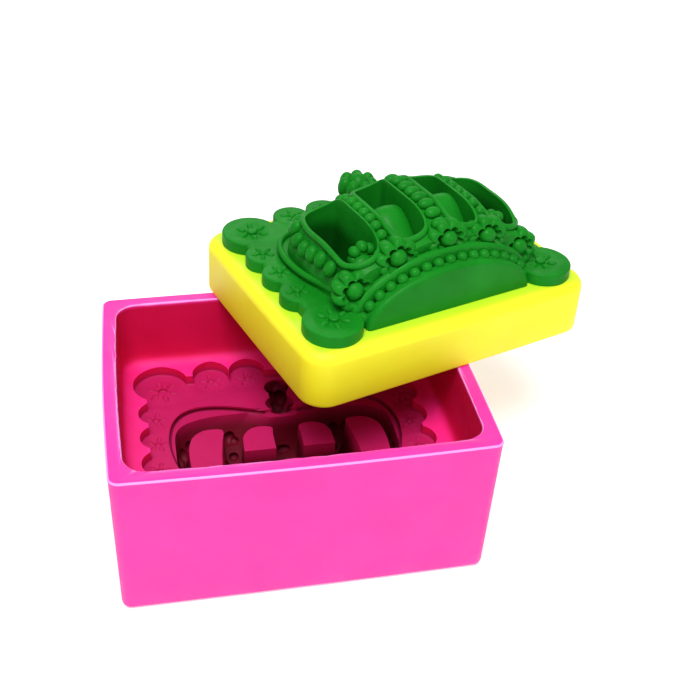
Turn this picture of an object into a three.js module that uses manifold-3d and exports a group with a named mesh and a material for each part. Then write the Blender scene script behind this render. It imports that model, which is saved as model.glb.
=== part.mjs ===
// Silicone soap mould with the two-colour bar cast in it, in millimetres, +Z up.
// The origin is the centre of the mould's underside. The bar rests askew on the mould's rim.
import * as THREE from 'three';
import { mergeVertices } from 'three/examples/jsm/utils/BufferGeometryUtils.js';
import Module from 'manifold-3d';

const wasm = await Module();
wasm.setup();

// ---- driving dimensions ----
const MOULD = { length: 90, width: 72, height: 40.5, corner: 2.4, edge: 0.6, draft: 0.55 };
const CAVITY = { length: 83, width: 65, corner: 5, depth: 19.5, squash: 0.88 };
const BAR = { length: 82.4, width: 64.4, thick: 14.6, corner: 6.6, fillet: 3 };
const REST = { x: 31.3, y: 24.4, yaw: 18 };          // where the bar sits on the rim
const GAP = 0.3;                                     // between neighbouring solids
const PLATE = 3.5;                                   // scalloped plate under the crown
const WELL = 0.6;                                    // green left under the deep wells

// Crown lying on its back, its axis along +Y.
const CROWN = {
  peak: 21, half: 29, reach: 12.5,
  stations: [-20.6, -16, -12, -8, -4, 0, 3, 6, 8.5, 10.5, 11.8, 12.4],
};
// Half of its cross-section, foot to crest: [share of half width, share of height].
const SECTION = [[1, 0], [1, 0.25], [0.96, 0.53], [0.87, 0.72], [0.7, 0.8], [0.47, 0.88], [0.17, 0.98]];
// Half outlines seen from above: the flange at the crown's foot, the outer well, the inner well.
const FLANGE = [
  [0, -21], [24.2, -21], [27.6, -10], [29.9, -3.5], [30, 3], [28.8, 7.5], [26.4, 10.7],
  [22.8, 12.4], [18.4, 12.7], [13.4, 12], [8.4, 10.6], [4.2, 9.4], [0, 9.4],
];
const OUTER_WELL = [
  [16, 3.9], [18.8, 5], [21.8, 4.6], [24.3, 2], [25.6, -2], [25.6, -7], [24.9, -12], [22.6, -12],
  [18, -8], [16.4, -4],
];
const INNER_WELL = [[3.4, 3.8], [7.8, 3.9], [10.4, 2.8], [11.6, 0], [11.6, -5], [3.4, -5]];
const FLANK_PEARLS = [
  [26.4, -13], [27.3, -9], [27.8, -5], [27.8, -1], [27, 3], [24.9, 6.6], [21.5, 8.6], [17.6, 9.2],
];
const ARCH_SHARES = [-0.47, 0, 0.47];                // share of the half width
const FACE = { a: 23.7, b: 11.7, y: -26.6 };         // smooth half-elliptic face of the band
const RAIL = { a: 26.3, b: 14.9, y: -22.9, deep: 2.3 };
const FAN = { a: 27.3, b: 14.8, angles: [30, 62, 88, 117, 150] };
const CORNER = { x: 31, y: 22.2, r: 7.6 };

// ---- helpers ----
const rad = THREE.MathUtils.degToRad;

function solid(geometry, snap = 1e-4) {
  let g = geometry.clone();
  g.deleteAttribute('normal');
  g.deleteAttribute('uv');
  g = mergeVertices(g, snap);
  return new wasm.Manifold(new wasm.Mesh({
    numProp: 3,
    vertProperties: new Float32Array(g.attributes.position.array),
    triVerts: new Uint32Array(g.index.array),
  }));
}

const join = (list) => list.reduce((whole, next) => whole.add(next));

function asGeometry(body) {
  const m = body.getMesh();
  const g = new THREE.BufferGeometry();
  g.setAttribute('position', new THREE.BufferAttribute(new Float32Array(m.vertProperties), 3));
  g.setIndex(new THREE.BufferAttribute(new Uint32Array(m.triVerts), 1));
  return g;
}

// The main body only, without the slivers that near-coincident faces can leave.
const mainBody = (body) => solid(asGeometry(body), 1e-3).decompose()
  .reduce((a, b) => (a.volume() > b.volume() ? a : b));

function mesh(name, body, color) {
  const g = asGeometry(body);
  g.computeVertexNormals();
  const out = new THREE.Mesh(g, new THREE.MeshStandardMaterial({ color, roughness: 0.5 }));
  out.name = name;
  return out;
}

function roundedShape(length, width, r) {
  const x = length / 2 - r;
  const y = width / 2 - r;
  const s = new THREE.Shape();
  s.absarc(x, -y, r, -Math.PI / 2, 0);
  s.absarc(x, y, r, 0, Math.PI / 2);
  s.absarc(-x, y, r, Math.PI / 2, Math.PI);
  s.absarc(-x, -y, r, Math.PI, Math.PI * 1.5);
  s.closePath();
  return s;
}

const block = (length, width, r, z0, z1, segments = 6) => solid(new THREE.ExtrudeGeometry(
  roundedShape(length, width, r),
  { depth: z1 - z0, bevelEnabled: false, curveSegments: segments },
).translate(0, 0, z0));

const box = (x0, x1, y0, y1, z0, z1) => solid(new THREE.BoxGeometry(x1 - x0, y1 - y0, z1 - z0)
  .translate((x0 + x1) / 2, (y0 + y1) / 2, (z0 + z1) / 2));

// A short post with its axis along Z.
const post = (x, y, r, z0, z1, sides = 12) => solid(new THREE.CylinderGeometry(r, r, z1 - z0, sides)
  .rotateX(Math.PI / 2).translate(x, y, (z0 + z1) / 2));

const pearl = (x, y, z, r) => solid(new THREE.SphereGeometry(r, 6, 3).translate(x, y, z));

// A slab standing across the bar, its outline in XZ and its thickness along +Y from y0.
function slab(shape, y0, deep) {
  const g = new THREE.ExtrudeGeometry(shape, { depth: deep, bevelEnabled: false, curveSegments: 10 });
  return solid(g.rotateX(Math.PI / 2).translate(0, y0 + deep, 0));
}

// ---- bar: the yellow pour ----
function soapBase() {
  const grow = { depth: BAR.thick, bevelEnabled: true, bevelThickness: BAR.fillet, bevelSize: BAR.fillet };
  const g = new THREE.ExtrudeGeometry(
    roundedShape(BAR.length - 2 * BAR.fillet, BAR.width - 2 * BAR.fillet, BAR.corner - BAR.fillet),
    { ...grow, bevelSegments: 4, curveSegments: 6 },
  ).translate(0, 0, -BAR.fillet);
  return solid(g).intersect(box(-60, 60, -60, 60, 0, BAR.thick + 5));
}

// ---- bar: the green pour, heights counted from the bar's upper face ----
const clip = (v, lo, hi) => Math.min(Math.max(v, lo), hi);
const mirrored = (outline) => outline.map(([x, y]) => [-x, y]).reverse();

// A flat outline carried up from z0 to z1.
const prism = (outline, z0, z1) => solid(new THREE.ExtrudeGeometry(
  new THREE.Shape(outline.map(([x, y]) => new THREE.Vector2(x, y))),
  { depth: z1 - z0, bevelEnabled: false },
).translate(0, 0, z0));

// Closed body through rings of equal count, its ends fanned from their middles.
function loft(rings) {
  const n = rings[0].length;
  const position = rings.flat().flat();
  const index = [];
  for (let i = 0; i + 1 < rings.length; i += 1) {
    for (let j = 0; j < n; j += 1) {
      const [a, b] = [i * n + j, i * n + ((j + 1) % n)];
      index.push(a, b + n, b, a, a + n, b + n);
    }
  }
  [0, rings.length - 1].forEach((i, end) => {
    const middle = position.length / 3;
    position.push(...[0, 1, 2].map((k) => rings[i].reduce((sum, q) => sum + q[k], 0) / n));
    for (let j = 0; j < n; j += 1) {
      const pair = [i * n + j, i * n + ((j + 1) % n)];
      index.push(...(end ? pair.reverse() : pair), middle);
    }
  });
  const g = new THREE.BufferGeometry();
  g.setAttribute('position', new THREE.BufferAttribute(new Float32Array(position), 3));
  g.setAttribute('normal', new THREE.BufferAttribute(new Float32Array(position), 3));
  g.setAttribute('uv', new THREE.BufferAttribute(new Float32Array((position.length / 3) * 2), 2));
  g.setIndex(index);
  return solid(g);
}

// Point on the crown: s from -1 to 1 is the share of the half width, k the share of the height.
function crownPoint(s, k, y) {
  const front = CROWN.half - 4.4 * (Math.max(-4 - y, 0) / 17) ** 2;
  const half = front * (1 - (Math.max(y, 0) / CROWN.reach) ** 4) ** 0.25;
  const blend = clip((Math.abs(s) - 0.2) / 0.35, 0, 1);
  const side = Math.sqrt(1 - (Math.max(y, 0) / 12.7) ** 2);
  const middle = (1 - (Math.max(y - 0.5, 0) / 12) ** 2.5) ** 0.4;
  const crest = CROWN.peak - 4.9 * (Math.max(-9 - y, 0) / 12.5) ** 1.8;
  const height = crest * (middle + blend * (side - middle));
  return [s * half, y - (1 - blend) * 0.25 * Math.max(y - 0.5, 0), k * height];
}

// Height of the crown's skin at that share of the half width.
function onCrown(share, y) {
  const s = Math.abs(share);
  const i = SECTION.findIndex((row) => row[0] <= s);
  if (i < 0) return crownPoint(share, 1 - 0.02 * (s / 0.17), y);
  const [[s0, k0], [s1, k1]] = [SECTION[i - 1], SECTION[i]];
  return crownPoint(share, k0 + ((s0 - s) / (s0 - s1)) * (k1 - k0), y);
}

function crownBody() {
  const right = SECTION.map(([s, k]) => [s, k]);
  const section = [...right, [0, 1], ...right.map(([s, k]) => [-s, k]).reverse()];
  const body = loft(CROWN.stations.map((y) => section.map(([s, k]) => crownPoint(s, k, y))));
  const wedge = (x0, x1, outline) => solid(new THREE.ExtrudeGeometry(
    new THREE.Shape(outline.map(([y, z]) => new THREE.Vector2(y, z))),
    { depth: x1 - x0, bevelEnabled: false },
  ).rotateX(Math.PI / 2).rotateZ(Math.PI / 2).translate(x0, 0, 0));
  const cuts = [];
  for (const side of [1, -1]) {
    for (const outline of [OUTER_WELL, INNER_WELL]) {
      cuts.push(prism(side > 0 ? outline : mirrored(outline), WELL, 30));
    }
    const [x0, x1] = side > 0 ? [3.4, 11.6] : [-11.6, -3.4];
    cuts.push(wedge(x0, x1, [[-4.8, 17.5], [-16.5, 13.6], [-16.5, 30], [-4.8, 30]]));
    const [x2, x3] = side > 0 ? [16.6, 24] : [-24, -16.6];
    cuts.push(wedge(x2, x3, [[-7, 12], [-16.5, 12], [-16.5, 30], [-7, 30]]));
  }
  const flange = prism([...FLANGE, ...mirrored(FLANGE.slice(1, -1))], 0, PLATE + 2);
  return body.add(flange).subtract(join(cuts));
}

function archPearls() {
  const out = [];
  for (const share of ARCH_SHARES) {
    for (let y = -15.5; y < 7.8; y += 3.3) {
      const [x, yy, z] = onCrown(share, y);
      out.push(pearl(x, yy, z - 0.5, 1.5));
    }
  }
  for (const [x, y] of FLANK_PEARLS) out.push(pearl(x, y, 10.4, 2.1), pearl(-x, y, 10.4, 2.1));
  return out;
}

function halfEllipse(a, b) {
  const s = new THREE.Shape();
  s.absellipse(0, 0, a, b, 0, Math.PI);
  s.closePath();
  return s;
}

function band() {
  const grooveY = FACE.y + 2.1;
  const out = [
    slab(halfEllipse(FACE.a, FACE.b), FACE.y, 2.1),
    slab(halfEllipse(FACE.a - 1.4, FACE.b - 1.4), grooveY, RAIL.y - grooveY + 0.5),
    slab(halfEllipse(RAIL.a, RAIL.b), RAIL.y, RAIL.deep),
  ];
  for (let i = 0; i < 15; i += 1) {
    const t = rad(12 + (156 * i) / 14);
    out.push(pearl(FACE.a * Math.cos(t), grooveY + 1, FACE.b * Math.sin(t), 1.4));
  }
  return out;
}

// Scalloped fan standing behind the rail.
function fleuron(angle) {
  const [cx, cz] = [FAN.a * Math.cos(rad(angle)), FAN.b * Math.sin(rad(angle))];
  const lean = Math.atan2(Math.sin(rad(angle)) / FAN.b, Math.cos(rad(angle)) / FAN.a);
  const out = [];
  for (const step of [-80, -27, 27, 80]) {
    const a = lean + rad(step);
    const s = new THREE.Shape();
    s.absarc(cx + 3.2 * Math.cos(a), cz + 2.9 * Math.sin(a), 2.3, 0, Math.PI * 2);
    out.push(solid(new THREE.ExtrudeGeometry(s, { depth: 3, bevelEnabled: false, curveSegments: 3 })
      .rotateX(Math.PI / 2).translate(0, RAIL.y + 5.4, 0)));
  }
  out.push(pearl(cx + 0.8 * Math.cos(lean), RAIL.y + 2.4, cz + 0.8 * Math.sin(lean), 1.9));
  return join(out);
}

function flower(x, y, r, z, petals = 5) {
  const out = [post(x, y, r * 0.34, z - 0.5, z + 0.9, 6)];
  for (let i = 0; i < petals; i += 1) {
    const a = rad(90 + (360 * i) / petals);
    out.push(post(x + r * 0.62 * Math.cos(a), y + r * 0.62 * Math.sin(a), r * 0.3, z - 0.5, z + 0.5, 5));
  }
  return out;
}

function plate() {
  const foot = -0.001;
  const core = new THREE.Shape([
    [-32, -20], [-24, -25], [24, -25], [32, -20], [33, 0], [32, 22], [24, 26], [-24, 26], [-32, 22], [-33, 0],
  ].map(([x, y]) => new THREE.Vector2(x, y)));
  const raised = [solid(new THREE.ExtrudeGeometry(core, { depth: PLATE, bevelEnabled: false }))];
  const dishes = [];
  const flowers = [];
  for (const sx of [-1, 1]) {
    for (const sy of [-1, 1]) {
      const [x, y] = [sx * CORNER.x, sy * CORNER.y];
      raised.push(post(x, y, CORNER.r, foot, PLATE + 0.4, 18));
      dishes.push(post(x, y, CORNER.r - 1.3, PLATE - 0.5, PLATE + 2, 14));
      flowers.push(...flower(x, y, 4.4, PLATE - 0.5));
    }
    for (const y of [-8.4, 1.1, 10.6]) raised.push(post(sx * 32.7, y, 4.6, foot, PLATE));
    for (const x of [7.4, 17.3]) raised.push(post(sx * x, 25.3, 4.9, foot, PLATE));
  }
  return join(raised).subtract(join(dishes)).add(join(flowers));
}

function apex() {
  const out = [
    post(0, 12.8, 4.2, 0, 9.6, 12), post(-3.4, 13.6, 2.2, 0, 8, 8), post(3.4, 13.6, 2.2, 0, 8, 8),
    post(0, 16.2, 2.4, 0, 9, 8), post(0, 20.3, 3.8, 0, 14.2, 10),
  ];
  for (let i = 0; i < 6; i += 1) {
    const a = rad(90 + 60 * i);
    out.push(post(3.4 * Math.cos(a), 20.3 + 3.4 * Math.sin(a), 2.2, 0, 13, 8));
  }
  return out;
}

function relief() {
  const parts = [crownBody(), plate(), ...archPearls(), ...band(), ...apex()];
  for (const angle of FAN.angles) parts.push(fleuron(angle));
  const wells = [OUTER_WELL, INNER_WELL].flatMap((w) => [prism(w, WELL, 9), prism(mirrored(w), WELL, 9)]);
  return mainBody(join(parts).subtract(join(wells)).intersect(box(-60, 60, -60, 60, 0, 40)));
}

// ---- mould: a block less the bar's own shape, turned over about the Y axis ----
function mouldBlock() {
  const { length, width, height, corner, edge, draft } = MOULD;
  const g = new THREE.ExtrudeGeometry(
    roundedShape(length - 2 * edge, width - 2 * edge, corner - edge),
    { depth: height - 2 * edge, bevelThickness: edge, bevelSize: edge, bevelSegments: 3, curveSegments: 6 },
  ).translate(0, 0, edge);
  const p = g.attributes.position;
  for (let i = 0; i < p.count; i += 1) {
    const k = 1 - p.getZ(i) / height;
    p.setX(i, p.getX(i) * (1 - (2 * draft * k) / length));
    p.setY(i, p.getY(i) * (1 - (2 * draft * k) / width));
  }
  return solid(g);
}

const reliefBody = relief();
const floorZ = MOULD.height - CAVITY.depth;
const turned = reliefBody.scale([1, 1, CAVITY.squash]).rotate([0, 180, 0]).translate([0, 0, floorZ + 0.001]);
const cavity = block(CAVITY.length, CAVITY.width, CAVITY.corner, floorZ, MOULD.height + 1)
  .add(turned);
const mould = mainBody(mouldBlock().subtract(cavity));

const onRim = (body, lift) => body.translate([0, 0, lift]).rotate([0, 0, REST.yaw])
  .translate([REST.x, REST.y, MOULD.height + GAP]);

const part = new THREE.Group();
part.name = 'silicone_soap_mould';
part.add(
  mesh('silicone_mould', mould, 0xf23fa8),
  mesh('soap_base', onRim(soapBase(), 0), 0xf6ee2e),
  mesh('soap_relief', onRim(reliefBody, BAR.thick + GAP), 0x1f8f2b),
);

export default part;
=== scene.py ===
"""Silicone soap mould with the two-colour crown soap bar that was cast in it.

The crown relief is worked out once, face up, in the bar's own frame (millimetres, +Y towards
the crown's tip, height 0 at the upper face of the yellow pour). The bar wears it as it is, and
the mould's floor is the same solid turned over, flattened a little and cut out of the block.
"""
import math

import bpy
import numpy as np
from mathutils import Matrix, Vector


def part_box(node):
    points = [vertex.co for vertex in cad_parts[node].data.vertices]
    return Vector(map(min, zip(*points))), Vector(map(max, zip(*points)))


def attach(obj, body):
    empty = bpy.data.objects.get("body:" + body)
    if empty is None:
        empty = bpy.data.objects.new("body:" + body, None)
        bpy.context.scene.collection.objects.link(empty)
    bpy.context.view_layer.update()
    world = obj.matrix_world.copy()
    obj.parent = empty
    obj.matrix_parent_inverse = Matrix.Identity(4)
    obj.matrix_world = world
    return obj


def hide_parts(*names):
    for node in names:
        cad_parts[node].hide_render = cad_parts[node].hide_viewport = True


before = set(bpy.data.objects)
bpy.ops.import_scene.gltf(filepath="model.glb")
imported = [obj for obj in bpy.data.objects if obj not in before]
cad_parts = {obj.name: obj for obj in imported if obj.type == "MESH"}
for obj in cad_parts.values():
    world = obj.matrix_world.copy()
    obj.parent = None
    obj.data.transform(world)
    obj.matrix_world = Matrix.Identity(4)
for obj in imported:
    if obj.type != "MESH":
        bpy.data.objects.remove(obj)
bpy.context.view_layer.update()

MM = 0.001
PI = math.pi

# ---- sizes in millimetres, read from the frame where it has them ----
mould_low, mould_high = (np.array(c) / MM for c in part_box("silicone_mould"))
base_low, base_high = (np.array(c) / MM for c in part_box("soap_base"))
LENGTH, WIDTH, HEIGHT = mould_high - mould_low
REST = (base_low + base_high) / 2
REST_Z = base_low[2]
YAW = math.radians(18)
BAR_L, BAR_W, BAR_T = 82.4, 64.4, base_high[2] - base_low[2]
CAVITY_L, CAVITY_W, CAVITY_R = 83.0, 65.0, 5.0
CAVITY_DEEP = 19.5                # rim to the margin of the cavity floor
SQUASH = 0.88                     # height of the mould's recess against the bar's crown
PEAK, REACH = 21.0, 12.5          # crown's height, and how far back it runs
FLOOR_Z = HEIGHT - CAVITY_DEEP
PLATE = 3.5                       # scalloped plate under the crown
WELL = 0.6                        # green left under the deep wells
SINK = 0.35                       # how deep the green pour runs into the yellow one
FACE_A, FACE_B, FACE_Y = 23.7, 11.9, -26.7        # band's face: half width, height, front
RAIL_A, RAIL_B, RAIL_Y = 26.3, 14.8, -21.8        # rail behind the bead channel
FAN_A, FAN_B = 27.4, 15.2                         # half oval on which the fleurons stand
FAN_ANGLES = (30, 61.5, 87, 117.4, 150.5)
TIP_Y = 20.3                                      # middle of the crown's tip ornament
BELLY = 0.7                                       # how far the silicone walls belly out


# ---------------------------------------------------------------- mesh helpers
def loft_faces(n, m, start):
    """Quads between n rings of m points, and one many-sided face at each end."""
    i, j = np.meshgrid(np.arange(n - 1), np.arange(m), indexing="ij")
    k = (j + 1) % m
    quads = np.stack([i * m + j, i * m + k, (i + 1) * m + k, (i + 1) * m + j], -1).reshape(-1, 4)
    caps = [list(range(start + m - 1, start - 1, -1)),
            list(range(start + (n - 1) * m, start + n * m))]
    return (quads + start).tolist() + caps


def enclosed(rings):
    """Signed volume of a loft: sum of corner triple products over the fanned faces."""
    total = 0.0
    a, b = rings[:-1], rings[1:]
    a2, b2 = np.roll(a, -1, 1), np.roll(b, -1, 1)
    for p, q, r in ((a, a2, b2), (a, b2, b)):
        total += np.einsum("ijk,ijk->", p, np.cross(q, r))
    for ring, sign in ((rings[0], -1), (rings[-1], 1)):
        total += sign * np.einsum("ij,ij->", ring[:1].repeat(len(ring) - 2, 0),
                                  np.cross(ring[1:-1], ring[2:]))
    return total / 6


def solid(name, *lofts):
    """One object of closed lofts, each an array of rings of points, all facing outwards."""
    points, faces, start = [], [], 0
    for rings in lofts:
        rings = np.asarray(rings, float)
        if enclosed(rings) < 0:
            rings = rings[::-1]
        n, m, _ = rings.shape
        points.append(rings.reshape(-1, 3))
        faces += loft_faces(n, m, start)
        start += n * m
    mesh = bpy.data.meshes.new(name)
    mesh.from_pydata(np.concatenate(points).tolist(), [], faces)
    obj = bpy.data.objects.new(name, mesh)
    bpy.context.scene.collection.objects.link(obj)
    return obj


def carve(target, tools, operation):
    """Joins or cuts closed tools into target, one after another, and removes the tools."""
    for tool in tools:
        step = target.modifiers.new(tool.name, "BOOLEAN")
        step.solver = "MANIFOLD"
        step.operation = operation
        step.object = tool
    view = bpy.context.evaluated_depsgraph_get()
    view.update()
    result = bpy.data.meshes.new_from_object(target.evaluated_get(view))
    target.modifiers.clear()
    target.data = result
    for tool in tools:
        bpy.data.objects.remove(tool, do_unlink=True)
    return target


def copy_of(obj, name):
    twin = bpy.data.objects.new(name, obj.data.copy())
    bpy.context.scene.collection.objects.link(twin)
    return twin


def move_points(obj, change):
    """Runs every vertex of obj through change, which takes and gives an (n, 3) array."""
    mesh = obj.data
    flat = np.empty(len(mesh.vertices) * 3, np.float32)
    mesh.vertices.foreach_get("co", flat)
    mesh.vertices.foreach_set("co", change(flat.reshape(-1, 3)).astype(np.float32).ravel())
    mesh.update()


def spline(table, t):
    """Smooth curve through the table's rows (Catmull-Rom), at parameters t from 0 to 1."""
    p = np.asarray(table, float)
    p = np.concatenate([[2 * p[0] - p[1]], p, [2 * p[-1] - p[-2]]])
    s = np.clip(np.asarray(t, float), 0, 1) * (len(p) - 3)
    i = np.minimum(s.astype(int), len(p) - 4)
    f = (s - i)[..., None]
    a, b, c, d = p[i], p[i + 1], p[i + 2], p[i + 3]
    return 0.5 * (2 * b + (c - a) * f + (2 * a - 5 * b + 4 * c - d) * f ** 2
                  + (3 * b - 3 * c + d - a) * f ** 3)


# ---------------------------------------------------------------- plain forms
def outline(length, width, r, side=16, corner=8):
    """Rounded rectangle: four straight runs of `side` steps joined by quarter circles."""
    pts = []
    x, y = length / 2 - r, width / 2 - r
    for cx, cy, turn in ((x, -y, -90), (x, y, 0), (-x, y, 90), (-x, -y, 180)):
        a = np.radians(turn + np.linspace(0, 90, corner + 1))
        arc = np.stack([cx + r * np.cos(a), cy + r * np.sin(a)], 1)
        nxt = {-90: (x + r, y), 0: (-x, y + r), 90: (-x - r, -y), 180: (x, -y - r)}[turn]
        run = arc[-1] + (np.array(nxt) - arc[-1]) * (np.arange(1, side) / side)[:, None]
        pts += [arc, run]
    return np.concatenate(pts)


def slab(length, width, r, levels, side=16, corner=8):
    """Rounded rectangle carried up through levels of (height, inset)."""
    rings = []
    for z, inset in levels:
        flat = outline(length - 2 * inset, width - 2 * inset, max(r - inset, 0.2), side, corner)
        rings.append(np.column_stack([flat, np.full(len(flat), z)]))
    return np.array(rings)


def round_edge(r, steps=4):
    """(inward, upward) offsets of a quarter circle, from the wall to the top."""
    a = np.linspace(0, PI / 2, steps + 1)
    return r * (1 - np.cos(a)), r * np.sin(a)


def post(x, y, r, z0, z1, edge, around):
    """Upright round post of radius r with a rounded upper edge."""
    a = np.linspace(0, 2 * PI, around, endpoint=False)
    inward, upward = round_edge(edge)
    levels = [(z0, 0.0)] + [(z1 - edge + u, i) for i, u in zip(inward, upward)]
    return np.array([np.column_stack([x + (r - i) * np.cos(a), y + (r - i) * np.sin(a),
                                      np.full(around, z)]) for z, i in levels])


def scallops(lobes, ring, lobe, core, spread):
    """Plan radius of a fan of circles: the far side of whichever circle reaches furthest."""
    centres = (np.arange(lobes) - (lobes - 1) / 2) * (spread / (lobes - 1))

    def reach(a):
        d = a[:, None] - centres[None]
        root = lobe ** 2 - (ring * np.sin(d)) ** 2
        far = np.where((root > 0) & (np.cos(d) > 0),
                       ring * np.cos(d) + np.sqrt(np.abs(root)), 0)
        return np.maximum(far.max(1), core)
    return reach


def bead(centre, size, turn=0.0, around=14, rows=8):
    """Ellipsoid with half sizes `size`, turned about Z."""
    v = np.linspace(0.06, PI - 0.06, rows + 1)[:, None]
    u = np.linspace(0, 2 * PI, around, endpoint=False)[None]
    p = np.stack([np.sin(v) * np.cos(u), np.sin(v) * np.sin(u), np.cos(v) + 0 * u], -1)
    p = p * np.broadcast_to(size, 3)
    c, s = math.cos(turn), math.sin(turn)
    p = np.stack([c * p[..., 0] - s * p[..., 1], s * p[..., 0] + c * p[..., 1], p[..., 2]], -1)
    return p + np.asarray(centre, float)


# ---------------------------------------------------------------- crown
# Half of the crown's cross-section, foot to top: share of the half width, share of the height.
HALF_SECTION = [(-1, 0), (-1, .12), (-.998, .25), (-.985, .40), (-.96, .53), (-.925, .64),
                (-.87, .72), (-.80, .765), (-.70, .80), (-.58, .84), (-.47, .88), (-.33, .935),
                (-.17, .98), (0, 1)]


def crown_width(y):
    """Half width: a slow parabola towards the band, a squarish quarter oval at the back."""
    front = 29.0 - 4.4 * (np.clip(-4 - y, 0, None) / 17) ** 2
    return front * (1 - (np.clip(y, 0, REACH - .01) / REACH) ** 4) ** 0.25


def crown_point(t, y, out=0.0):
    """Point on the crown at t from -1 to 1 across it, moved outwards along its normal by `out`.

    Height is the cross-section times a crest that sinks slowly to the band; behind, it falls as a
    squarish oval in the middle and as a round one at the sides, and the middle is drawn in.
    """
    t, y = np.broadcast_arrays(np.asarray(t, float), np.asarray(y, float))

    def at(q, v):
        p = spline(HALF_SECTION, 1 - np.abs(q))
        share = np.where(q > 0, -p[..., 0], p[..., 0])
        blend = np.clip((np.abs(share) - 0.2) / 0.35, 0, 1)
        blend = blend * blend * (3 - 2 * blend)
        side = np.sqrt(1 - (np.clip(v, 0, REACH - .01) / (REACH + .2)) ** 2)
        middle = (1 - (np.clip(v - 0.5, 0, 11.99) / 12) ** 2.5) ** 0.4
        crest = PEAK - 4.9 * (np.clip(-9 - v, 0, None) / 12.5) ** 1.8
        z = p[..., 1] * crest * (middle + blend * (side - middle))
        drawn = (1 - blend) * 0.25 * np.clip(v - 0.5, 0, None)
        return np.stack([share * crown_width(v), v - drawn, z], -1)
    here = at(t, y)
    across = at(np.clip(t + 0.02, -1, 1), y) - at(np.clip(t - 0.02, -1, 1), y)
    length = at(t, np.minimum(y + 0.15, REACH - .02)) - at(t, y - 0.15)
    normal = np.cross(across, length)
    normal = normal / (np.linalg.norm(normal, axis=-1, keepdims=True) + 1e-9)
    return here + normal * np.asarray(out, float)[..., None]


SHARES = np.linspace(0, 1, 500)
SHARE_OF_T = -spline(HALF_SECTION, 1 - SHARES)[:, 0]


def on_dome(x, y, out=0.0):
    """Point of the crown's skin over (x, y) in plan."""
    x, y = np.asarray(x, float), np.asarray(y, float)
    share = np.abs(x) / crown_width(y)
    blend = np.clip((share - 0.2) / 0.35, 0, 1)
    drawn = 0.25 * (1 - blend * blend * (3 - 2 * blend)) * (y > 0.5)
    y = np.minimum((y - 0.5 * drawn) / (1 - drawn), REACH - .2)
    share = np.clip(np.abs(x) / crown_width(y), 0, 0.999)
    t = np.interp(share, SHARE_OF_T, SHARES) * np.where(x > 0, 1, -1)
    return crown_point(t, y, out)


STATIONS = np.concatenate([np.linspace(-20.6, 2, 30),
                           2 + (REACH - 2.05) * np.sin(np.linspace(0.06, 1, 20) * PI / 2)])


def crown_core():
    """The closed dome: its cross-section carried along Y."""
    t = np.linspace(-1, 1, 80)
    rings = []
    for y in STATIONS:
        p = crown_point(t, y, -0.35)
        p[:, 2] = np.maximum(p[:, 2], 0.3)
        foot = [[p[-1, 0], p[-1, 1], -SINK], [p[0, 0], p[0, 1], -SINK]]
        rings.append(np.concatenate([p, foot]))
    return solid("core", np.array(rings))


def closed_curve(points, count):
    """Smooth closed curve (Catmull-Rom) through points, in `count` even steps of its parameter."""
    p = np.asarray(points, float)
    s = np.linspace(0, len(p), count, endpoint=False)
    i = s.astype(int)
    f = (s - i)[:, None]
    a, b, c, d = (p[(i + k) % len(p)] for k in (-1, 0, 1, 2))
    return 0.5 * (2 * b + (c - a) * f + (2 * a - 5 * b + 4 * c - d) * f ** 2
                  + (3 * b - 3 * c + d - a) * f ** 3)


# Wells between the arches, seen from above: outlines at the top and at the bottom.
OUTER_TOP = [(15.9, 4.3), (18.8, 5.6), (22.0, 5.5), (24.6, 4.0), (25.7, 1.5), (26.0, -2),
             (25.8, -7), (25.4, -12), (24.4, -16), (21.8, -18.3), (18.2, -18.2), (16.2, -15.5),
             (15.8, -8), (15.8, -2)]
OUTER_LOW = [(16.4, 4.4), (18.7, 5.0), (21.6, 4.4), (24.0, 1.9), (25.0, -1.8), (25.2, -6),
             (24.9, -10), (24.0, -12), (22.2, -11.6), (20.0, -9.2), (18.6, -6.8), (18.1, -3),
             (17.2, 1)]
INNER_TOP = [(3.4, 4.4), (7.2, 5.3), (10.4, 4.4), (11.7, 2.0), (11.8, -3), (11.8, -9),
             (11.7, -15), (10.0, -18), (5.2, -18), (3.5, -15.5), (3.4, -9), (3.4, -4), (3.4, 1)]
INNER_LOW = [(3.7, 3.8), (6.6, 4.5), (9.2, 3.5), (11.0, 1.2), (11.5, -1), (11.6, -3),
             (11.4, -4.2), (10.0, -4.5), (6.0, -4.5), (4.0, -4.3), (3.7, -3.4), (3.7, -1), (3.7, 2)]


def well(top, low, side):
    """Hole that widens from its floor outline to its top outline."""
    a, b = closed_curve(low, 96), closed_curve(top, 96)
    rings = []
    for z, k in ((WELL, 0), (WELL + 3, .35), (9, .75), (14, 1), (30, 1)):
        p = a + (b - a) * k
        rings.append(np.column_stack([p[:, 0] * side, p[:, 1], np.full(96, z)]))
    return np.array(rings)


def rim(top, side, thick=0.8):
    """Rings of a thin round rail along a well's upper outline, lying on the crown's skin."""
    p = closed_curve(top, 110)
    ahead = np.roll(p, -1, 0) - np.roll(p, 1, 0)
    ahead /= np.linalg.norm(ahead, axis=1)[:, None]
    outward = np.stack([ahead[:, 1], -ahead[:, 0]], 1)
    if (outward * (p - p.mean(0))).sum() < 0:
        outward = -outward
    p = (p + outward * 0.35 * thick) * [side, 1]
    outward = outward * [side, 1]
    middle = on_dome(p[:, 0], p[:, 1], -0.05)
    above = on_dome(p[:, 0], p[:, 1], 0.95) - middle
    above /= np.linalg.norm(above, axis=1)[:, None]
    away = np.column_stack([outward, np.zeros(len(p))])
    away -= (away * above).sum(1)[:, None] * above
    away /= np.linalg.norm(away, axis=1)[:, None]
    turn = np.linspace(0, 2 * PI, 14, endpoint=False)
    return (middle[:, None] + thick * (np.cos(turn)[None, :, None] * away[:, None]
                                       + 1.25 * np.sin(turn)[None, :, None] * above[:, None]))


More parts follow.
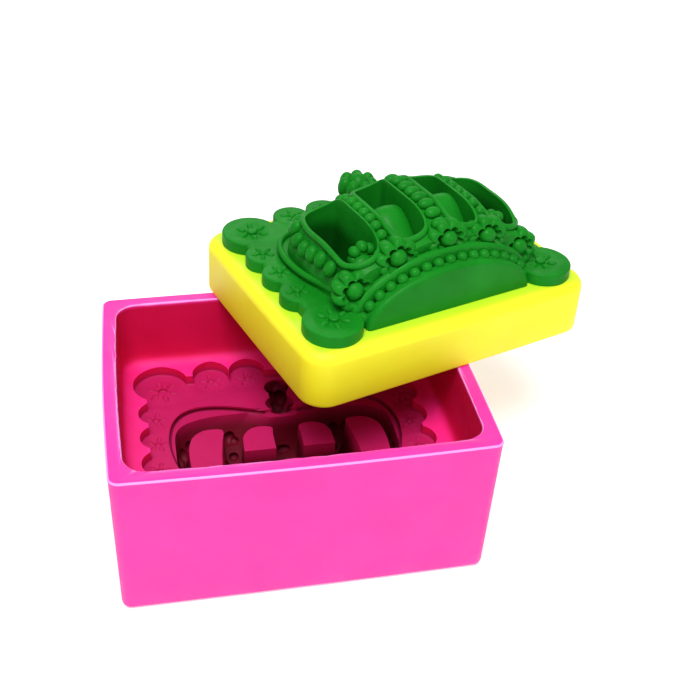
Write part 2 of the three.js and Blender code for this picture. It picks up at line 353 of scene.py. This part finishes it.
def ring_solid(name, rings):
    """Closed ring: each section joined to the next and the last one to the first."""
    n, m, _ = rings.shape
    i, j = np.meshgrid(np.arange(n), np.arange(m), indexing="ij")
    i2, j2 = (i + 1) % n, (j + 1) % m
    faces = np.stack([i * m + j, i2 * m + j, i2 * m + j2, i * m + j2], -1).reshape(-1, 4)
    p = rings.reshape(-1, 3)
    a, b, c, d = (p[faces[:, k]] for k in range(4))
    if np.einsum("ij,ij->", a, np.cross(b, c)) + np.einsum("ij,ij->", a, np.cross(c, d)) < 0:
        faces = faces[:, ::-1]
    mesh = bpy.data.meshes.new(name)
    mesh.from_pydata(p.tolist(), [], faces.tolist())
    obj = bpy.data.objects.new(name, mesh)
    bpy.context.scene.collection.objects.link(obj)
    return obj


def pillow(x, half, back, length, top, front_top):
    """Puffed lining that fills a well's front part: a round-topped section carried along -Y.

    Its back is flat and upright, its crest starts at `top` there and sinks to `front_top`.
    """
    u = np.linspace(0, PI, 25)
    rings = []
    for k in np.linspace(0, 1, 18):
        swell = 0.9 * math.sin(k * PI * 2.2) if k > 0.1 else 0
        crest = top - (top - front_top) * k ** 1.2 + swell - 0.8 * max(0, 1 - k / 0.1) ** 2
        puff = half * (1 - 0.10 * k ** 2)
        crest_z = crest - 3.4 * (1 - np.abs(np.sin(u)) ** 0.9)
        y = back - length * k
        arc = np.column_stack([x + puff * np.cos(u), np.full(25, y), crest_z])
        foot = [[x - puff, y, 0.5], [x + puff, y, 0.5]]
        rings.append(np.concatenate([arc, foot]))
    return np.array(rings)


def along(points, gap):
    """Evenly spaced shares of a path's length, so that beads sit `gap` apart."""
    s = np.concatenate([[0], np.cumsum(np.linalg.norm(np.diff(points, axis=0), axis=1))])
    n = max(2, int(round(s[-1] / gap)) + 1)
    return np.interp(np.linspace(0, s[-1], n), s, np.arange(len(points)))


def skin_beads(path, gap, size, out=0.2):
    """Beads on the crown along a plan path; `size` is (across the path, along it, standing out)."""
    path = np.asarray(path, float)
    k = along(path, gap)
    steps = np.arange(len(path))
    x, y = np.interp(k, steps, path[:, 0]), np.interp(k, steps, path[:, 1])
    centre = on_dome(x, y, out)
    above = on_dome(x, y, out + 1) - centre
    ahead = np.gradient(centre, axis=0)
    beads = []
    for c, n, a in zip(centre, above, ahead):
        n = n / np.linalg.norm(n)
        a = a - (a @ n) * n
        a = a / np.linalg.norm(a)
        ball = bead((0, 0, 0), 1.0, around=16, rows=10)
        beads.append(c + ball @ np.array([np.cross(a, n) * size[0], a * size[1], n * size[2]]))
    return beads


def half_oval(a, b, n=40):
    """Upper half of an oval, closed by a straight foot sunk into the yellow pour."""
    u = np.linspace(0, PI, n)
    return np.concatenate([np.stack([a * np.cos(u), b * np.sin(u)], 1), [[-a, -SINK], [a, -SINK]]])


def band(a, b, levels):
    """Half oval carried along +Y through levels of (y, inset)."""
    rings = []
    for y, inset in levels:
        o = half_oval(a - inset, b - inset)
        rings.append(np.column_stack([o[:, 0], np.full(len(o), y), o[:, 1]]))
    return np.array(rings)


def fleuron(angle):
    """Scalloped hood behind the rail, hollow in front: (hood, hollow, bead, foot)."""
    ca, sa = math.cos(angle), math.sin(angle)
    cx, cz = FAN_A * ca, FAN_B * sa
    lean = math.atan2(sa / FAN_B, ca / FAN_A)
    turn = np.linspace(0, 2 * PI, 84, endpoint=False)
    reach = scallops(6, 4.25, 1.65, 3.4, math.radians(214))((turn + PI) % (2 * PI) - PI)

    def ring(y, k, shift=0.0):
        r = reach * k
        dx = r * np.cos(turn + lean) + shift * math.cos(lean)
        dz = (r * np.sin(turn + lean) + shift * math.sin(lean)) * 0.85
        return np.column_stack([cx + dx, y + 0.2 * dz, cz + dz])
    hood = np.array([ring(y, k) for y, k in (
        (-21.0, .80), (-20.85, .90), (-20.4, .98), (-19.7, 1.01),
        (-18.7, 1.0), (-17.7, .95), (-16.9, .86), (-16.5, .7))])
    hollow = np.array([ring(y, k, 0.2) for y, k in (
        (-22.0, .76), (-20.9, .68), (-19.6, .58), (-18.8, .3))])
    pearl = bead((cx + 0.3 * math.cos(lean), -20.0, cz + 0.3 * math.sin(lean)), (2.25, 2.0, 2.25),
                 around=20, rows=12)
    foot = bead((cx * 0.93, -18.2, cz * 0.55), (3.2, 2.4, cz * 0.55 + 1.0), around=18, rows=10)
    return hood, hollow, pearl, foot


def petals(x, y, z, inner, outer, wide, tall, count, phase=0.0):
    """Ring of slim oval petals lying flat round (x, y)."""
    out = []
    for k in range(count):
        a = phase + 2 * PI * k / count
        mid = (inner + outer) / 2
        out.append(bead((x + mid * math.cos(a), y + mid * math.sin(a), z),
                        ((outer - inner) / 2, wide / 2, tall), turn=a, around=12, rows=6))
    return out


# Half outline of the crown's foot seen from above, from the band round to the middle of the back.
FLANGE = [(23.6, -21.5), (25.6, -17), (27.4, -11), (29.2, -5.5), (30.1, 0), (30, 4.5),
          (28.8, 9.3), (26.4, 12.7), (22.8, 14.5), (18.4, 14.8), (13.4, 14.0), (8.4, 12.5),
          (4.2, 11.2)]


def foot_rail(side, thick=0.75):
    """Thin rail lying along the foot of the crown, with closed ends."""
    p = spline(FLANGE, np.linspace(0, 1, 110)) * [side, 1]
    ahead = np.gradient(p, axis=0)
    ahead /= np.linalg.norm(ahead, axis=1)[:, None]
    away = np.column_stack([ahead[:, 1], -ahead[:, 0], np.zeros(len(p))])
    turn = np.linspace(0, 2 * PI, 12, endpoint=False)
    middle = np.column_stack([p, np.full(len(p), PLATE + 1.3)])
    return middle[:, None] + thick * (np.cos(turn)[None, :, None] * away[:, None]
                                      + np.sin(turn)[None, :, None] * np.array([0, 0, 1.3]))


def tip_ornament():
    """Lobed ball behind the crown, and a lower cluster before it, as a list of beads."""
    tip = [bead((0, TIP_Y, 7.2), (3.9, 3.9, 7.4), around=28, rows=16),
           bead((0, 13.6, 4.8), (4.1, 3.4, 5.0), around=28, rows=14),
           bead((0, 17.0, 4.3), (2.6, 3.0, 4.4), around=20, rows=10)]
    for count, phase, y, wide, deep, z, size, rows in (
            (7, 0.25, TIP_Y, 3.6, 3.6, 10.7, (2.0, 2.0, 3.0), 12),
            (6, 0.6, 19.8, 4.3, 4.0, 6.2, (1.7, 1.7, 2.3), 8),
            (5, 0.3, 13.4, 3.2, 2.4, 7.2, (1.8, 1.7, 2.1), 8)):
        for k in range(count):
            a = phase + 2 * PI * k / count
            tip.append(bead((wide * math.cos(a), y + deep * math.sin(a), z), size,
                            around=20 if rows == 12 else 18, rows=rows))
    return tip


def scalloped_plate():
    """Flat plate under the crown, with corner discs, edge lobes and their small flowers."""
    levels = [(-SINK, 0), (PLATE - 1.0, 0), (PLATE - .6, .12), (PLATE - .4, .4), (PLATE - .3, .9)]
    plate = solid("plate", slab(69.8, 49.4, 5.5, levels, 4, 6))
    discs, dishes, small = [], [], []
    for sx in (-1, 1):
        for sy in (-1, 1):
            x, y = sx * 30.9, sy * 22.4
            discs.append(post(x, y, 7.3, -SINK, PLATE - 0.28, 0.45, 64))
            cx, cy = x - sx * 0.4, y - sy * 0.4
            dishes.append(bead((cx, cy, PLATE + 0.7), (6.0, 6.0, 1.55), around=48, rows=14))
            small += petals(cx, cy, PLATE - .75, 1.6, 4.6, 1.6, .8, 6, 0.3)
            small.append(post(cx, cy, 1.35, 1.6, PLATE + 0.1, .45, 20))
        for y in (-8.4, 1.1, 10.6):
            discs.append(post(sx * 32.7, y, 4.6, -SINK, PLATE - 0.27, 0.45, 40))
            small += petals(sx * 32.9, y, PLATE - .3, .8, 3.1, 1.3, .5, 5, 0.5)
            small.append(bead((sx * 32.9, y, PLATE - .25), (1.0, 1.0, .75)))
        for x in (7.4, 17.3):
            discs.append(post(sx * x, 25.3, 4.95, -SINK, PLATE - 0.26, 0.45, 40))
            small += petals(sx * x, 25.0, PLATE - .3, .8, 3.3, 1.3, .5, 5, 0.2)
            small.append(bead((sx * x, 25.0, PLATE - .25), (1.05, 1.05, .75)))
    # closes a pocket beside the band's ends
    small += [bead((side * 24.4, -20.2, 3.4), (1.4, 1.2, 1.1)) for side in (-1, 1)]
    carve(plate, [solid("disc", d) for d in discs], "UNION")
    carve(plate, [solid("dish", d) for d in dishes], "DIFFERENCE")
    return carve(plate, [solid("small", s) for s in small], "UNION")


def relief():
    """The whole green pour as one closed solid."""
    crown = crown_core()
    half = spline(FLANGE, np.linspace(0, 1, 60))
    whole = np.concatenate([half, (half * [-1, 1])[::-1]])
    flange = np.array([np.column_stack([whole * k, np.full(len(whole), z)])
                       for z, k in ((-SINK, 1.0), (PLATE + 0.6, 1.0), (PLATE + 0.9, 0.985))])
    joins = [solid("flange", flange)]
    joins += [ring_solid("rim", rim(top, side)) for side in (-1, 1)
              for top in (OUTER_TOP, INNER_TOP)]
    joins += [solid("foot_rail", foot_rail(side)) for side in (-1, 1)]
    carve(crown, joins, "UNION")
    wells = [well(top, low, side) for side in (-1, 1)
             for top, low in ((OUTER_TOP, OUTER_LOW), (INNER_TOP, INNER_LOW))]
    carve(crown, [solid("wells", *wells)], "DIFFERENCE")

    # band: smooth face, bead channel, rail
    inward, upward = round_edge(1.1, 5)
    levels = [(FACE_Y + 1.1 - u, i) for i, u in zip(inward[::-1], upward[::-1])]
    face = band(FACE_A, FACE_B, levels + [(FACE_Y + 2.6, 0.0)])
    channel = band(FACE_A - 1.2, FACE_B - 0.9, [(FACE_Y + 2.0, 0), (RAIL_Y + 0.5, 0)])
    turn = np.linspace(-PI / 2, PI / 2, 9)
    rail = band(RAIL_A, RAIL_B, [(RAIL_Y + 1.15 * math.sin(k), 1.15 * (1 - math.cos(k)))
                                 for k in turn])
    under_rail = band(RAIL_A - 1.0, RAIL_B - 1.0, [(RAIL_Y - 0.9, 0), (RAIL_Y + 3.0, 0.4)])
    joins = [solid("face", face), solid("channel", channel), solid("rail", rail),
             solid("under_rail", under_rail)]

    u = np.linspace(0.17, PI - 0.17, 200)
    path = np.stack([(FACE_A + 0.2) * np.cos(u), 0 * u, (FACE_B + 0.1) * np.sin(u)], 1)
    row = [bead((np.interp(k, np.arange(200), path[:, 0]), FACE_Y + 3.1,
                 np.interp(k, np.arange(200), path[:, 2])), 1.42, around=16, rows=10)
           for k in along(path, 3.35)]
    joins += [solid("row_a", *row[::2]), solid("row_b", *row[1::2])]

    # beads of the arches
    y = np.linspace(-17.4, 7.4, 60)
    arch_line = spline([(14.4, -17.4), (13.9, -8), (13.8, 0), (13.6, 4.5), (13.0, 9.2)],
                       np.linspace(0, 1, 60))
    flank_line = spline([(25.9, -16.4), (27.0, -12), (27.9, -6), (28.1, 0), (27.4, 3.4), (25.6, 6.8),
                         (22.0, 8.8), (17.8, 9.5), (14.2, 9.6)], np.linspace(0, 1, 120))
    rows = [skin_beads(np.column_stack([0 * y, y]), 3.15, (2.2, 1.6, 1.5), 0.1)]
    for side in (-1, 1):
        rows.append(skin_beads(arch_line * [side, 1], 3.0, (1.5, 1.45, 1.5), 0.1))
        rows.append(skin_beads(flank_line * [side, 1], 3.7, (2.35, 1.72, 1.7), -0.1))
    for row in rows:
        joins += [solid("row_a", *row[::2]), solid("row_b", *row[1::2])]

    # pillows in the inner wells, a bud in each outer one
    for sign in (-1, 1):
        joins.append(solid("pillow", pillow(sign * 7.6, 4.5, -4.3, 15, 19.5, 13.6)))
        x = sign * 18.9
        joins.append(solid("lining", bead((sign * 19.6, -15.6, 6.4), (4.8, 3.4, 7.4),
                                          around=24, rows=12)))
        joins.append(solid("bud_bead", bead((x, -13.2, 13.0), 2.0, around=20, rows=12)))
        for k in range(5):
            a = math.radians(-20 + 55 * k)
            petal = (x + 2.5 * math.cos(a), -13.9 + 0.3 * math.sin(a), 12.6 + 2.2 * math.sin(a))
            joins.append(solid("bud_petal", bead(petal, (1.5, 1.7, 1.5), around=16)))
    carve(crown, joins, "UNION")

    hoods = [fleuron(math.radians(k)) for k in FAN_ANGLES]
    carve(crown, [solid("foot", h[3]) for h in hoods], "UNION")
    carve(crown, [solid("hood", h[0]) for h in hoods], "UNION")
    carve(crown, [solid("hollow", h[1]) for h in hoods], "DIFFERENCE")
    carve(crown, [solid("pearl", h[2]) for h in hoods], "UNION")

    carve(crown, [solid("tip", t) for t in tip_ornament()], "UNION")
    return carve(crown, [scalloped_plate()], "UNION")


# ---------------------------------------------------------------- mould and bar
rng = np.random.default_rng(7)


def bow(p, length, width, height, amount):
    """Silicone walls belly out a little: the corners stay in while mid-wall reaches full size."""
    x, y, z = p[..., 0], p[..., 1], p[..., 2]
    k = 0.35 + 0.65 * np.clip(z / height, 0, 1)
    across = 1 - np.cos(PI * np.clip(y / width, -.5, .5))
    along_x = 1 - np.cos(PI * np.clip(x / length, -.5, .5))
    nx = x - np.sign(x) * amount * k * across * np.abs(x) * 2 / length
    ny = y - np.sign(y) * amount * k * along_x * np.abs(y) * 2 / width
    return np.stack([nx, ny, z], -1)


def mould_block():
    """Rounded box with a soft lower edge, a small upper one and a slight taper to the foot."""
    low_in, low_up = round_edge(1.6, 4)
    top_in, top_up = round_edge(0.55, 4)
    levels = [(1.6 - u, i + 0.1) for i, u in zip(low_in[::-1], low_up[::-1])]
    levels += [(z, 0.1) for z in np.linspace(6, HEIGHT - 4, 6)]
    levels += [(HEIGHT - 1.5, 0.12), (HEIGHT - 1.25, 0.12)]
    levels += [(HEIGHT - 0.55 + u, i) for i, u in zip(top_in, top_up)]
    rings = slab(LENGTH, WIDTH, 2.4, levels, 24, 8)
    k = 1 - rings[..., 2] / HEIGHT
    rings[..., 0] *= 1 - 2 * 0.55 * k / LENGTH
    rings[..., 1] *= 1 - 2 * 0.55 * k / WIDTH
    return bow(rings, LENGTH, WIDTH, HEIGHT, BELLY)


def mould_cavity():
    """The bar's own block upside down, its mouth a little torn along the inner edge."""
    r_in, r_up = round_edge(3.5, 7)
    levels = [(FLOOR_Z + 3.5 - u, i) for i, u in zip(r_in[::-1], r_up[::-1])]
    levels += [(z, 0.0) for z in (FLOOR_Z + 6, HEIGHT - 3, HEIGHT - 1.0, HEIGHT - 0.45)]
    levels += [(HEIGHT - 0.12, -0.1), (HEIGHT, -0.25), (HEIGHT + 1, -0.6)]
    rings = slab(CAVITY_L, CAVITY_W, CAVITY_R, levels, 90, 14)
    m = rings.shape[1]
    noise = rng.normal(0, 1, m)
    noise = noise + 1.6 * np.clip(rng.normal(0, 1, m) - 1.3, 0, None)
    wrapped = np.concatenate([noise[-2:], noise, noise[:2]])
    soft = np.convolve(wrapped, [.1, .2, .4, .2, .1], "valid")
    for row, share in ((-4, .35), (-3, .8), (-2, 1.0), (-1, 1.0)):
        direction = rings[row, :, :2] / np.linalg.norm(rings[row, :, :2], axis=1)[:, None]
        rings[row, :, :2] += direction * (soft * 0.17 * share)[:, None]
    return bow(rings, CAVITY_L, CAVITY_W, HEIGHT, BELLY)


def bar_block():
    """Yellow pour: sharp foot, soft upper edge, rounded upright corners."""
    r_in, r_up = round_edge(2.8, 7)
    levels = [(0, 0.25), (0.25, 0.05), (0.6, 0.0), (5.0, 0.0)]
    levels += [(BAR_T - 2.8 + u, i) for i, u in zip(r_in, r_up)]
    rings = slab(BAR_L, BAR_W, 6.6, levels, 20, 12)
    return bow(rings, BAR_L, BAR_W, BAR_T, 0.35)


def on_rim(p, lift):
    """Places bar points on the mould's rim: up by lift, turned about Z, then shifted; in metres."""
    c, s = math.cos(YAW), math.sin(YAW)
    x, y, z = p[:, 0], p[:, 1], p[:, 2]
    return np.stack([c * x - s * y + REST[0], s * x + c * y + REST[1], z + REST_Z + lift], 1) * MM


def finish_mesh(obj, degrees):
    """Smooth shading with creases where faces meet more sharply than that."""
    obj.data.shade_smooth()
    obj.data.set_sharp_from_angle(angle=math.radians(degrees))


green = relief()
green.name = "relief_soap"
turned = copy_of(green, "turned")
move_points(turned, lambda p: p * [-1, 1, -SQUASH] + [0, 0, FLOOR_Z])
mould = solid("mould_silicone", mould_block())
carve(mould, [solid("cavity", mould_cavity()), turned], "DIFFERENCE")
yellow = solid("base_soap", bar_block())

move_points(mould, lambda p: p * MM)
move_points(yellow, lambda p: on_rim(p, 0.0))
move_points(green, lambda p: on_rim(p, BAR_T))
finish_mesh(mould, 38)
finish_mesh(yellow, 60)
finish_mesh(green, 42)


# ---------------------------------------------------------------- materials
def material(name):
    mat = bpy.data.materials.new(name)
    mat.use_nodes = True
    nodes, links = mat.node_tree.nodes, mat.node_tree.links
    return mat, nodes, links, nodes["Principled BSDF"]


def noise_at(nodes, links, where, scale, detail=3.0, rough=0.55):
    n = nodes.new("ShaderNodeTexNoise")
    n.inputs["Scale"].default_value = scale
    n.inputs["Detail"].default_value = detail
    n.inputs["Roughness"].default_value = rough
    links.new(where, n.inputs["Vector"])
    return n.outputs["Fac"]


def ramp(nodes, links, source, stops):
    r = nodes.new("ShaderNodeValToRGB")
    els = r.color_ramp.elements
    while len(els) < len(stops):
        els.new(0.5)
    for el, (pos, col) in zip(els, stops):
        el.position = pos
        el.color = (*col, 1.0)
    links.new(source, r.inputs["Fac"])
    return r.outputs["Color"]


def map_range(nodes, links, source, a, b, c=0.0, d=1.0):
    m = nodes.new("ShaderNodeMapRange")
    m.interpolation_type = "SMOOTHSTEP"
    for key, value in zip(("From Min", "From Max", "To Min", "To Max"), (a, b, c, d)):
        m.inputs[key].default_value = value
    links.new(source, m.inputs["Value"])
    return m.outputs["Result"]


def mix(nodes, links, factor, one, two):
    m = nodes.new("ShaderNodeMix")
    m.data_type = "RGBA"
    for socket, value in ((m.inputs["Factor"], factor), (m.inputs["A"], one), (m.inputs["B"], two)):
        if isinstance(value, bpy.types.NodeSocket):
            links.new(value, socket)
        elif isinstance(value, tuple):
            socket.default_value = (*value, 1.0)
        else:
            socket.default_value = value
    return m.outputs["Result"]


def math_node(nodes, links, operation, a, b=0.0):
    m = nodes.new("ShaderNodeMath")
    m.operation = operation
    for socket, value in zip(m.inputs, (a, b)):
        if isinstance(value, bpy.types.NodeSocket):
            links.new(value, socket)
        else:
            socket.default_value = value
    return m.outputs[0]


def product(nodes, links, first, *others):
    for factor in others:
        first = math_node(nodes, links, "MULTIPLY", first, factor)
    return first


def bumps(nodes, links, shader, heights, strength, distance):
    b = nodes.new("ShaderNodeBump")
    b.inputs["Strength"].default_value = strength
    b.inputs["Distance"].default_value = distance
    links.new(heights, b.inputs["Height"])
    links.new(b.outputs["Normal"], shader.inputs["Normal"])


def silicone():
    """Pink silicone: satin outside with a painted lilac highlight along the upper edge; in the
    cavity a darker crimson, with painted shade on the walls and deeper down.
    """
    mat, nodes, links, shader = material("pink silicone")
    where = nodes.new("ShaderNodeTexCoord").outputs["Object"]
    split = nodes.new("ShaderNodeSeparateXYZ")
    links.new(where, split.inputs[0])
    x = math_node(nodes, links, "ABSOLUTE", split.outputs["X"])
    y = math_node(nodes, links, "ABSOLUTE", split.outputs["Y"])
    in_x = map_range(nodes, links, x, (CAVITY_L / 2 + 1.6) * MM, (CAVITY_L / 2 + 0.3) * MM)
    in_y = map_range(nodes, links, y, (CAVITY_W / 2 + 1.6) * MM, (CAVITY_W / 2 + 0.3) * MM)
    depth = map_range(nodes, links, split.outputs["Z"], (HEIGHT - 0.1) * MM, (HEIGHT - 1.4) * MM)
    above = map_range(nodes, links, split.outputs["Z"], 1.0 * MM, 2.0 * MM)
    inside = product(nodes, links, in_x, in_y, depth, above)
    mottled = noise_at(nodes, links, where, 60, 4)
    outer = ramp(nodes, links, mottled, [(0.3, (0.93, 0.024, 0.35)), (0.7, (0.97, 0.032, 0.39))])
    # Painted light in the cavity: upright walls take a darker crimson as painted shade, upward faces
    # a brighter pink as if lit.
    facing = nodes.new("ShaderNodeSeparateXYZ")
    links.new(nodes.new("ShaderNodeNewGeometry").outputs["Normal"], facing.inputs[0])
    shaded_walls = ramp(nodes, links, mottled, [(0.3, (0.62, 0.003, 0.065)), (0.7, (0.70, 0.005, 0.085))])
    lit_flats = ramp(nodes, links, mottled, [(0.3, (0.93, 0.016, 0.22)), (0.7, (1.0, 0.026, 0.29))])
    inner = mix(nodes, links, map_range(nodes, links, facing.outputs["Z"], 0.3, 0.9), shaded_walls, lit_flats)
    # Painted shade: below the floor margin the cavity darkens towards a deep crimson, up to 0.8 of
    # the way.
    plate = map_range(nodes, links, split.outputs["Z"], (FLOOR_Z - 0.9) * MM, (FLOOR_Z - 2.4) * MM,
                      0.0, 0.8)
    inner = mix(nodes, links, plate, inner, (0.38, 0.006, 0.075))
    # Painted shade: from 3 to 8 mm below the floor margin the cavity goes nearly black, up to 0.92
    # of the way.
    low = map_range(nodes, links, split.outputs["Z"], (FLOOR_Z - 3) * MM, (FLOOR_Z - 8) * MM,
                    0.0, 0.92)
    inner = mix(nodes, links, low, inner, (0.13, 0.001, 0.008))
    # Painted highlight: a lilac line on the rounded upper outer edge, on faces tilted between
    # upright and flat in the top millimetre.
    highlight_tilt_low = map_range(nodes, links, facing.outputs["Z"], 0.10, 0.35)
    highlight_tilt_high = map_range(nodes, links, facing.outputs["Z"], 0.99, 0.92)
    highlight_band_z = map_range(nodes, links, split.outputs["Z"], (HEIGHT - 1.0) * MM, (HEIGHT - 0.5) * MM)
    edge = product(nodes, links, highlight_tilt_low, highlight_tilt_high, highlight_band_z, 0.75)
    outer = mix(nodes, links, edge, outer, (0.85, 0.42, 1.0))
    links.new(mix(nodes, links, inside, outer, inner), shader.inputs["Base Color"])
    rough = map_range(nodes, links, noise_at(nodes, links, where, 180, 3), 0.3, 0.7, 0.40, 0.52)
    duller = product(nodes, links, inside, 0.15)
    links.new(math_node(nodes, links, "ADD", rough, duller), shader.inputs["Roughness"])
    links.new(map_range(nodes, links, inside, 0.0, 1.0, 0.4, 0.18),
              shader.inputs["Specular IOR Level"])
    shader.inputs["Subsurface Weight"].default_value = 0.25
    shader.inputs["Subsurface Radius"].default_value = (1.0, 0.25, 0.5)
    shader.inputs["Subsurface Scale"].default_value = 0.002
    bumps(nodes, links, shader, noise_at(nodes, links, where, 1400, 2), 0.12, 0.00012)
    return mat


def bar_axes(nodes, links, where):
    """The bar's own |x| and y, and the height above the floor, as sockets."""
    turn = nodes.new("ShaderNodeMapping")
    turn.vector_type = "TEXTURE"
    turn.inputs["Location"].default_value = (REST[0] * MM, REST[1] * MM, 0)
    turn.inputs["Rotation"].default_value = (0, 0, YAW)
    links.new(where, turn.inputs["Vector"])
    split = nodes.new("ShaderNodeSeparateXYZ")
    links.new(turn.outputs["Vector"], split.inputs[0])
    return (math_node(nodes, links, "ABSOLUTE", split.outputs["X"]), split.outputs["Y"],
            split.outputs["Z"])


def soap_yellow():
    """Lemon soap: waxy, cloudy, chartreuse where the green pour meets it."""
    mat, nodes, links, shader = material("yellow soap")
    where = nodes.new("ShaderNodeTexCoord").outputs["Object"]
    cloud = noise_at(nodes, links, where, 45, 4)
    body = ramp(nodes, links, cloud, [(0.3, (0.90, 0.84, 0.014)), (0.7, (0.94, 0.92, 0.024))])
    x, y, z = bar_axes(nodes, links, where)
    near_x = map_range(nodes, links, x, 41.0 * MM, 36.5 * MM)
    near_y = map_range(nodes, links, math_node(nodes, links, "ABSOLUTE", y), 32.0 * MM, 27.5 * MM)
    high = map_range(nodes, links, z, (REST_Z + BAR_T - 3.0) * MM, (REST_Z + BAR_T) * MM)
    bleed = product(nodes, links, near_x, near_y, high, 0.75)
    links.new(mix(nodes, links, bleed, body, (0.42, 0.86, 0.02)), shader.inputs["Base Color"])
    links.new(map_range(nodes, links, noise_at(nodes, links, where, 120, 3), 0.3, 0.7, 0.42, 0.55),
              shader.inputs["Roughness"])
    shader.inputs["Subsurface Weight"].default_value = 0.35
    shader.inputs["Subsurface Radius"].default_value = (1.0, 0.8, 0.15)
    shader.inputs["Subsurface Scale"].default_value = 0.003
    shader.inputs["Specular IOR Level"].default_value = 0.35
    bumps(nodes, links, shader, noise_at(nodes, links, where, 500, 3), 0.15, 0.00015)
    return mat


def soap_green():
    """Green soap: waxy, a soft shine, slightly cloudy, with painted shade darkening it down in the
    crown's wells.
    """
    mat, nodes, links, shader = material("green soap")
    where = nodes.new("ShaderNodeTexCoord").outputs["Object"]
    cloud = noise_at(nodes, links, where, 90, 4)
    body = ramp(nodes, links, cloud, [(0.3, (0.004, 0.180, 0.008)), (0.7, (0.008, 0.230, 0.013))])
    x, y, z = bar_axes(nodes, links, where)
    top = REST_Z + BAR_T
    # Painted shade: in the wells' region (|x| within 26-27 mm, y from -17 to 7.5 mm, below 9-14 mm
    # above the yellow's top) the green darkens towards near black, up to 0.75 of the way.
    deep = map_range(nodes, links, x, 27.0 * MM, 26.0 * MM)
    for socket, start, end in ((y, -17.0, -15.0), (y, 7.5, 6.0), (z, top + 14.0, top + 9.0)):
        deep = math_node(nodes, links, "MULTIPLY", deep,
                         map_range(nodes, links, socket, start * MM, end * MM))
    deep = math_node(nodes, links, "MULTIPLY", deep, 0.75)
    links.new(mix(nodes, links, deep, body, (0.001, 0.03, 0.002)), shader.inputs["Base Color"])
    links.new(map_range(nodes, links, noise_at(nodes, links, where, 220, 3), 0.3, 0.7, 0.33, 0.46),
              shader.inputs["Roughness"])
    shader.inputs["Subsurface Weight"].default_value = 0.15
    shader.inputs["Subsurface Radius"].default_value = (0.2, 1.0, 0.2)
    shader.inputs["Subsurface Scale"].default_value = 0.0012
    shader.inputs["Specular IOR Level"].default_value = 0.10
    bumps(nodes, links, shader, noise_at(nodes, links, where, 900, 3), 0.18, 0.00012)
    return mat


for obj, mat in ((mould, silicone()), (yellow, soap_yellow()), (green, soap_green())):
    obj.data.materials.clear()
    obj.data.materials.append(mat)

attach(mould, "mould"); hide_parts("silicone_mould")
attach(yellow, "soap_bar"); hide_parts("soap_base")
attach(green, "soap_bar"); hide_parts("soap_relief")


# ---------------------------------------------------------------- floor, light, camera
floor = bpy.data.objects.new("floor", bpy.data.meshes.new("floor"))
floor.data.from_pydata([(-3, -3, 0), (3, -3, 0), (3, 3, 0), (-3, 3, 0)], [], [(0, 1, 2, 3)])
bpy.context.scene.collection.objects.link(floor)
paper, nodes, links, shader = material("white paper")
shader.inputs["Base Color"].default_value = (0.95, 0.95, 0.95, 1)
shader.inputs["Roughness"].default_value = 0.35
shader.inputs["Emission Color"].default_value = (1, 1, 1, 1)
shader.inputs["Emission Strength"].default_value = 0.25
floor.data.materials.append(paper)


def lamp(name, place, aim, size, power):
    data = bpy.data.lights.new(name, "AREA")
    data.shape = "RECTANGLE"
    data.size, data.size_y = size
    data.energy = power
    obj = bpy.data.objects.new(name, data)
    bpy.context.scene.collection.objects.link(obj)
    z = np.array(place, float) - np.array(aim, float)
    z /= np.linalg.norm(z)
    x = np.cross([0, 0, 1.0], z)
    x /= np.linalg.norm(x)
    y = np.cross(z, x)
    m = np.eye(4)
    m[:3, 0], m[:3, 1], m[:3, 2], m[:3, 3] = x, y, z, place
    obj.matrix_world = Matrix(m.tolist())


lamp("key", (-0.10, -0.30, 0.80), (0.0, 0.0, 0.04), (0.4, 0.4), 6.8)
lamp("fill", (0.35, -0.75, 0.35), (0.0, 0.0, 0.04), (0.6, 0.4), 0.6)
lamp("back", (0.1, 0.7, 0.6), (0.0, 0.0, 0.04), (0.6, 0.3), 1.5)

world = bpy.data.worlds.new("studio")
world.use_nodes = True
world.node_tree.nodes["Background"].inputs["Color"].default_value = (1, 1, 1, 1)
world.node_tree.nodes["Background"].inputs["Strength"].default_value = 0.40
bpy.context.scene.world = world
bpy.context.scene.view_settings.view_transform = "Standard"

camera_data = bpy.data.cameras.new("camera")
camera_data.lens = 52.2
camera_data.sensor_width = 36.0
camera = bpy.data.objects.new("camera", camera_data)
bpy.context.scene.collection.objects.link(camera)
right = np.array([0.97729, -0.20444, 0.05575])
down = np.array([-0.07751, -0.58973, -0.80387])
forward = np.cross(right, down)
m = np.eye(4)
m[:3, 0], m[:3, 1], m[:3, 2] = right, -down, -forward
m[:3, 3] = np.array([-34.27, -195.17, 192.26]) * MM
camera.matrix_world = Matrix(m.tolist())
bpy.context.scene.camera = camera
